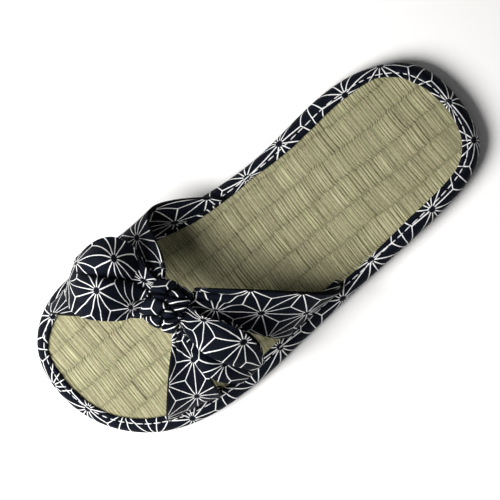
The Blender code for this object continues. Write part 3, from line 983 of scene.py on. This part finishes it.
def cross_point(along, across, height):
    """Point of the crossing, given along and across the turned core."""
    turn = math.radians(CROSS_TURN)
    x = CROSS_X + along * math.cos(turn) - across * math.sin(turn)
    y = CROSS_Y + along * math.sin(turn) + across * math.cos(turn)
    return np.stack(np.broadcast_arrays(x, y, height), axis=-1).astype(float)


def strap_edge(row):
    """Control points of one edge of a strap's arm, from its foot to the crossing."""
    _, side, _, foot_y, inset, swell, lean, rise, reach, arch, root = row
    place, out = sole_side(foot_y, side)
    base = place - out * inset
    stands_on = BINDING_TOP if inset < BINDING_WIDTH else MAT_TOP
    foot = np.array((base[0], base[1], stands_on))
    bow = foot + np.array((out[0] * swell, out[1] * swell + lean, rise))
    end = cross_point(side * CORE_ROOT, root, CROSS_Z)
    shoulder = end + (foot - end) * reach
    shoulder[2] = CROSS_Z + arch
    return foot, bow, shoulder, end


def lattice_lay(stars):
    """How a print lies on a cloth, from the places of three neighbouring stars."""
    hubs = np.array(((0.0, 0.0), (STAR_PITCH, 0.0), (STAR_PITCH / 2, STAR_PITCH * math.sqrt(3) / 2)))
    known = np.array([(along, across, 1.0) for along, across in stars])
    return np.linalg.solve(known, hubs)


def lattice_place(run, over, stars):
    """Print's coordinates at places on a cloth."""
    laid = np.stack([run, over, np.ones_like(run)], axis=1) @ lattice_lay(stars)
    return laid[:, 0], laid[:, 1]


def lay_lining(piece, stars, lining_stars):
    """Give the faces of a strap's lining a print of their own."""
    mesh = piece.data
    spread = read_values(mesh.uv_layers.active.data, "uv", 2)
    layers = read_values(mesh.polygons, "material_index", kind=int)
    inside = np.repeat(layers, read_values(mesh.polygons, "loop_total", kind=int)) == 1
    face = lattice_lay(stars)
    place = (spread[inside] / MM - face[2]) @ np.linalg.inv(face[:2])
    spread[inside] = np.stack(lattice_place(place[:, 0], place[:, 1], lining_stars), axis=1) * MM
    mesh.uv_layers.active.data.foreach_set("uv", spread.ravel())


def make_arm(name, cotton):
    """One arm of the straps, flat at its foot and gathered into pleats at the crossing."""
    crown, pleat_depth = ARM_CLOTH[name]
    front, rear = [strap_edge(row) for row in ARM_EDGES if row[0] == name]
    side = [row[1] for row in ARM_EDGES if row[0] == name][0]

    def sheet(along, across):
        share = across[:, None]
        return bezier(front, along) * (1 - share) + bezier(rear, along) * share

    def shape(along, across):
        puff = crown * np.sin(math.pi * np.clip(along, 0, 1)) * 4 * across * (1 - across)
        gathered = smooth_step((along - PLEAT_START) / (1 - PLEAT_START))
        folds = 2 * math.pi * PLEATS * (across - 0.5) + 0.8 * np.sin(5 * along)
        ripple = 0.5 * np.sin(7 * along + 3 * across) * np.sin(math.pi * np.clip(along, 0, 1))
        return raised(sheet, along, across, -side * (puff + pleat_depth * gathered * np.cos(folds) + ripple))

    line = np.linspace(0, 1, 80)
    middle = run_length(sheet(line, np.full(80, 0.5)))
    spans = np.linalg.norm(sheet(line, np.zeros(80)) - sheet(line, np.ones(80)), axis=1)
    cloth_width = np.hypot(spans, GATHERED_WIDTH)

    def flat(along, across):
        run = middle[-1] - np.interp(along, line, middle)
        return lattice_place(run, (across - 0.5) * np.interp(along, line, cloth_width), ARM_STARS[name])

    # Painted shade along the strap's two hemmed edges
    def hem_shade(along, across):
        return (np.abs(2 * across - 1) > HEM_SHADE_SHARE).astype(float)

    piece = cloth_grid("strap_" + name, STRAP_GRID, shape, flat, hem_shade)
    if name in LINING_STARS:
        # A second slot, so that the lining's faces can be told apart until they have their print
        piece.data.materials.append(cotton)
        piece.data.materials.append(cotton)
    thicken(piece, STRAP_CLOTH, 0.0, 1)
    face_out(piece)
    if name in LINING_STARS:
        lay_lining(piece, ARM_STARS[name], LINING_STARS[name])
    finish_piece(piece, cotton, "printed_cotton", "upper")


def loop_path(side, direction, length):
    """Middle line of a loop seen from above: it leaves the knot along the core, then turns."""
    place = cross_point(side * (GAP + LOOP_WALL), 0.0, 0.0)
    start = CROSS_TURN + (180.0 if side < 0 else 0.0)
    step = length / LOOP_PATH_STEPS
    turned = smooth_step((np.arange(LOOP_PATH_STEPS) * step - LOOP_ROOT_LENGTH / 2) / LOOP_TURN_LENGTH)
    heading = np.radians(start + (direction - start) * turned)
    ahead = np.stack([np.cos(heading), np.sin(heading), 0 * heading], axis=1)
    places = np.concatenate([[place], place + np.cumsum(ahead * step, axis=0)])
    return places, np.concatenate([ahead, ahead[-1:]])


def along_line(table, column, at):
    """A table's column followed smoothly along its first column."""
    stations = np.linspace(table[0][0], table[-1][0], 240)
    values = np.interp(stations, [row[0] for row in table], [row[column] for row in table])
    reach = 12
    padded = np.concatenate([np.full(reach, values[0]), values, np.full(reach, values[-1])])
    eased = np.convolve(padded, np.ones(2 * reach + 1) / (2 * reach + 1), "valid")
    return np.interp(at, stations, eased)


def loop_half_depth(share, depth):
    """Half the distance between a loop's two layers, closing to a round tip."""
    root = LOOP_ROOT_GAP / 2
    opening = root + (depth / 2 - root) * smooth_step(share / LOOP_OPENED)
    past = np.clip((share - LOOP_OPENED) / (1 - LOOP_OPENED), 0, 1)
    return np.where(share < LOOP_OPENED, opening, depth / 2 * np.sqrt(1 - past ** 2))


def make_loop(row, cotton):
    """Ribbon loop: its upper layer out from the knot, round the tip, and back below."""
    name, side, direction, length, arch, tip_z, depth = row
    main, *others = LOOP_CREASES[name]
    roll_left, roll_right, lip, step = LOOP_ROLLS[name]
    shear, slip_along, slip_across, root_close, root_turn = LOOP_SLIPS[name]
    places, headings = loop_path(side, direction, length)
    stations = np.linspace(0, 1, LOOP_PATH_STEPS + 1)

    def share_out(along):
        """Share of the way out to the tip, from one end of the ribbon round to the other."""
        return np.sin(math.pi / 2 * np.clip(1 - np.abs(2 * along - 1), 0, 1))

    def breadth(across, at):
        """Place across the loop at a run out from the knot, and the loop's two edges there."""
        left, right = (along_line(LOOP_EDGES[name], k, at) for k in (1, 2))
        return right + (left - right) * across, left, right

    def shape(along, across):
        upper_side = along < 0.5
        run = share_out(along)
        at = run * length
        share = np.clip((at - LOOP_ROOT_LENGTH) / (length - LOOP_ROOT_LENGTH), 0, 1)
        place = columns_at(run, stations, places)
        ahead = columns_at(run, stations, headings)
        sideways = np.stack([-ahead[:, 1], ahead[:, 0], 0 * run], axis=1)
        over, left, right = breadth(across, at)
        middle = LOOP_ROOT_Z + arch * np.sin(math.pi * share) + (tip_z - LOOP_ROOT_Z) * share ** LOOP_DROOP
        height = middle + np.where(upper_side, 1.0, -1.0) * loop_half_depth(share, depth)
        open_share = np.sin(math.pi * np.clip(share, 0, 1)) ** 0.7
        lift = np.zeros_like(over)
        for crease in LOOP_CREASES[name]:
            aside = over - along_line(crease, 1, at)
            broad = along_line(crease, 3, at) * np.where(aside > 0, 1.0, CREASE_SLOPE)
            lift -= along_line(crease, 2, at) * soft_trough(aside, broad)
        near_left, near_right = (
            smooth_step((over / edge - LOOP_ROLL_START) / (1 - LOOP_ROLL_START)) for edge in (left, right)
        )
        roll = (roll_left * near_left + roll_right * near_right) * open_share
        beside = over - along_line(main, 1, at)
        lift -= step * along_line(main, 2, at) * smooth_step(0.5 - beside / STEP_REACH)
        lean = lip * along_line(main, 2, at) / LIP_DEPTH * soft_trough(beside - LIP_PLACE, LIP_REACH)
        waves = np.sin(2 * math.pi * at / LOOP_PUCKER_PITCH + over / 3.0)
        pucker = LOOP_PUCKER * waves * near_left * open_share
        crown = LOOP_CROWN * open_share * (1 - (2 * across - 1) ** 2)
        round_tip = np.sqrt(np.clip(1 - share ** 6, 0, 1))
        above = (lift + crown) * round_tip + pucker - roll
        height = height + np.where(upper_side, above, -LOWER_SHARE * (crown + roll))
        over = np.where(upper_side, over - lean * round_tip, over * LOWER_WIDTH)
        return place + sideways * over[:, None] + np.stack([0 * over, 0 * over, height], axis=1)

    line = np.linspace(0, 1, 160)
    run_line = run_length(shape(line, np.full(160, 0.5)))
    widest = math.asin(LOOP_WIDEST) / math.pi
    section = shape(np.full(160, widest), line)
    across_line = run_length(section * np.array((1.0, 1.0, CREASE_COUNTED)))
    star_run, star_over = LOOP_STARS[name]
    star_u = np.interp(math.asin(star_run / length) / math.pi, line, run_line)
    _, left, right = breadth(0.5, np.array(star_run))
    star_v = np.interp((star_over - right) / (left - right), line, across_line)

    def flat(along, across):
        over = np.interp(across, line, across_line) - star_v
        at = share_out(along) * length
        aside = breadth(across, at)[0] - along_line(main, 1, at)
        beyond = smooth_step(0.5 - aside / SLIP_REACH) * (along < 0.5)
        run = np.interp(along, line, run_line) - star_u
        inward = np.maximum(-run, 0) * (1 - beyond) * (along < 0.5)
        u = run + shear * np.minimum(over, 0) + slip_along * beyond - root_close * inward
        return u, over + slip_across * beyond - root_turn * inward

    # Painted shade in the upper layer's creases, full where a crease is deep enough to hide its cloth
    def painted_shade(along, across):
        at = share_out(along) * length
        over, _, _ = breadth(across, at)

        def shaded(crease, full_depth, half_width):
            deep = np.clip(along_line(crease, 2, at) / full_depth, 0, 1)
            return deep * soft_trough(over - along_line(crease, 1, at), half_width)

        shares = [shaded(main, *MAIN_CREASE_SHADE)] + [shaded(crease, *SIDE_CREASE_SHADE) for crease in others]
        return np.max(shares, axis=0) * (along < 0.5)

    piece = cloth_grid(name + "_ribbon", LOOP_GRID, shape, flat, painted_shade)
    face_out(piece)
    thicken(piece, LOOP_CLOTH, 0.0, 1)
    face_out(piece)
    finish_piece(piece, cotton, "printed_cotton", name)


def knot_folds(x, y):
    """Nearest fold of the knot at a place seen from above, and the room to the crease beside it.

    Distances are counted in the folds' own lengths and widths, so a crease lies where two are equal.
    """
    away = []
    for along, across, heading, length, width, *_ in KNOT_FOLDS:
        turn = math.radians(heading)
        run = (x - along) * math.cos(turn) + (y - across) * math.sin(turn)
        over = (y - across) * math.cos(turn) - (x - along) * math.sin(turn)
        away.append(np.hypot(run / length, over / width))
    away = np.array(away)
    ranked = np.sort(away, axis=0)
    nearest = np.argmin(away, axis=0)
    widths = np.array([row[4] for row in KNOT_FOLDS])
    return nearest, (ranked[1] - ranked[0]) * widths[nearest]


def make_knot(cotton):
    """Gathered band wrapped round the crossing and the roots of the loops."""
    centre_z = (KNOT_LOW + KNOT_HIGH) / 2
    hole_z = (KNOT_HIGH - KNOT_LOW) / 2
    hole_y = CORE_WIDTH / 2 + 2 * GAP

    def section(along):
        """Shares of the band's breadth and height round its section, and its wall on that side."""
        cos = np.cos(2 * math.pi * along)
        sin = np.sin(2 * math.pi * along)
        side = np.sign(cos) * np.abs(cos) ** KNOT_SQUARENESS
        top = np.sign(sin) * np.abs(sin) ** KNOT_SQUARENESS
        return side, top, np.where(cos > 0, KNOT_WALL_FRONT, KNOT_WALL_REAR)

    def seen_place(along, across):
        """Place along and across the core, and the share by which it is on the upper side."""
        side, _, wall = section(along)
        x = KNOT_LENGTH / 2 * np.sin(math.pi / 2 * np.clip(2 * across - 1, -1, 1))
        return x, (hole_y + wall) * side, smooth_step((np.sin(2 * math.pi * along) + 0.5) / 0.5)

    def shape(along, across):
        x, y, upper_side = seen_place(along, across)
        side, top, wall = section(along)
        roll = smooth_step((np.abs(2 * across - 1) - 1 + KNOT_EDGE_ROLL) / KNOT_EDGE_ROLL)
        pinch = KNOT_BARREL * (2 * x / KNOT_LENGTH) ** 2
        _, room = knot_folds(x, y)
        crease = (KNOT_PUFF - KNOT_CREASE * np.exp(-room / KNOT_CREASE_REACH)) * upper_side
        over = (hole_y + (np.maximum(wall - pinch, KNOT_WALL_LEAST) + 0.8 * crease) * (1 - roll)) * side
        up = (hole_z + (KNOT_WALL_TOP - pinch + crease) * (1 - roll)) * top
        return cross_point(x, over, centre_z + up)

    line = np.linspace(0, 1, 240)
    side, top, wall = section(line)
    ring = run_length(np.stack([(hole_y + wall) * side, (hole_z + KNOT_WALL_TOP) * top], axis=1))
    upper = line <= 0.5
    seen = ((hole_y + wall) * side)[upper]
    table = np.array(KNOT_FOLDS)
    fold_ring = np.interp(table[:, 1], seen[::-1], ring[upper][::-1])
    turns = np.radians(table[:, 7])

    def flat(along, across):
        x, y, _ = seen_place(along, across)
        nearest, _ = knot_folds(x, y)
        run = x - table[nearest, 0]
        over = fold_ring[nearest] - np.interp(along, line, ring)
        cos = np.cos(turns[nearest])
        sin = np.sin(turns[nearest])
        return run * cos - over * sin + table[nearest, 5], run * sin + over * cos + table[nearest, 6]

    # Painted shade in the creases between the knot's folds, on its upper side
    def painted_shade(along, across):
        x, y, upper_side = seen_place(along, across)
        _, room = knot_folds(x, y)
        return soft_trough(room, KNOT_SHADE_REACH) * upper_side

    piece = cloth_grid("bow_knot_wrap", KNOT_GRID, shape, flat, painted_shade)
    face_out(piece, SEAM_REACH)
    thicken(piece, KNOT_CLOTH, -1.0, 0)
    finish_piece(piece, cotton, "printed_cotton", "bow_knot")


def make_camera():
    """The photograph's view: from above the heel's outer side, rolled so that the heel is top right."""
    lean_x, lean_y = (math.tan(math.radians(lean)) for lean in (VIEW_LEAN_ACROSS, VIEW_LEAN_ALONG))
    back = Vector((-lean_x, -lean_y, 1.0)).normalized()
    roll = math.radians(VIEW_ROLL)
    hint = Vector((math.sin(roll), math.cos(roll), 0.0))
    right = (-back).cross(hint).normalized()
    up = right.cross(-back)
    bpy.ops.object.camera_add()
    camera = bpy.context.object
    turned = Matrix((right, up, back)).transposed().to_4x4()
    camera.matrix_world = Matrix.Translation(Vector(VIEW_TARGET) + back * VIEW_DISTANCE) @ turned
    camera.data.sensor_fit = "AUTO"
    camera.data.angle = 2 * math.atan(VIEW_HALF_SPREAD)
    camera.data.clip_end = 20.0
    bpy.context.scene.camera = camera


def make_light():
    """Soft studio light: one large lamp on the toe's side, and an even fill."""
    bpy.ops.object.light_add(type="AREA", location=KEY_PLACE)
    lamp = bpy.context.object
    lamp.name = "key_light"
    lamp.rotation_mode = "QUATERNION"
    lamp.rotation_quaternion = (Vector(KEY_AIM) - Vector(KEY_PLACE)).to_track_quat("-Z", "Y")
    lamp.data.shape = "DISK"
    lamp.data.size = KEY_SIZE
    lamp.data.energy = KEY_POWER
    lamp.data.color = KEY_COLOUR
    world = bpy.data.worlds.new("studio")
    world.use_nodes = True
    sky = world.node_tree.nodes["Background"]
    sky.inputs["Color"].default_value = (1.0, 1.0, 1.0, 1.0)
    sky.inputs["Strength"].default_value = FILL_LIGHT
    bpy.context.scene.world = world
    bpy.context.scene.view_settings.view_transform = "Standard"


def make_floor():
    """Plain pale floor, just under the sole."""
    bpy.ops.object.select_all(action="DESELECT")
    bpy.ops.mesh.primitive_plane_add(size=FLOOR_SIZE, location=(0.0, 0.0, -FLOOR_DROP))
    floor = bpy.context.object
    floor.name = "floor"
    floor.data.materials.append(Nodes("pale_floor").surface((0.95, 0.95, 0.95, 1.0), Roughness=0.9))


cotton = printed_cotton()
thread = sewing_thread()
rush = woven_rush()
tread = sole_sheet()

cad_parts["outsole"].data.materials.clear()
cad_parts["outsole"].data.materials.append(tread)

make_binding(cotton)
make_stitches(thread)
make_mat(rush)
for arm in ARM_CLOTH:
    make_arm(arm, cotton)
for loop in LOOPS:
    make_loop(loop, cotton)
make_knot(cotton)
make_camera()
make_floor()
make_light()
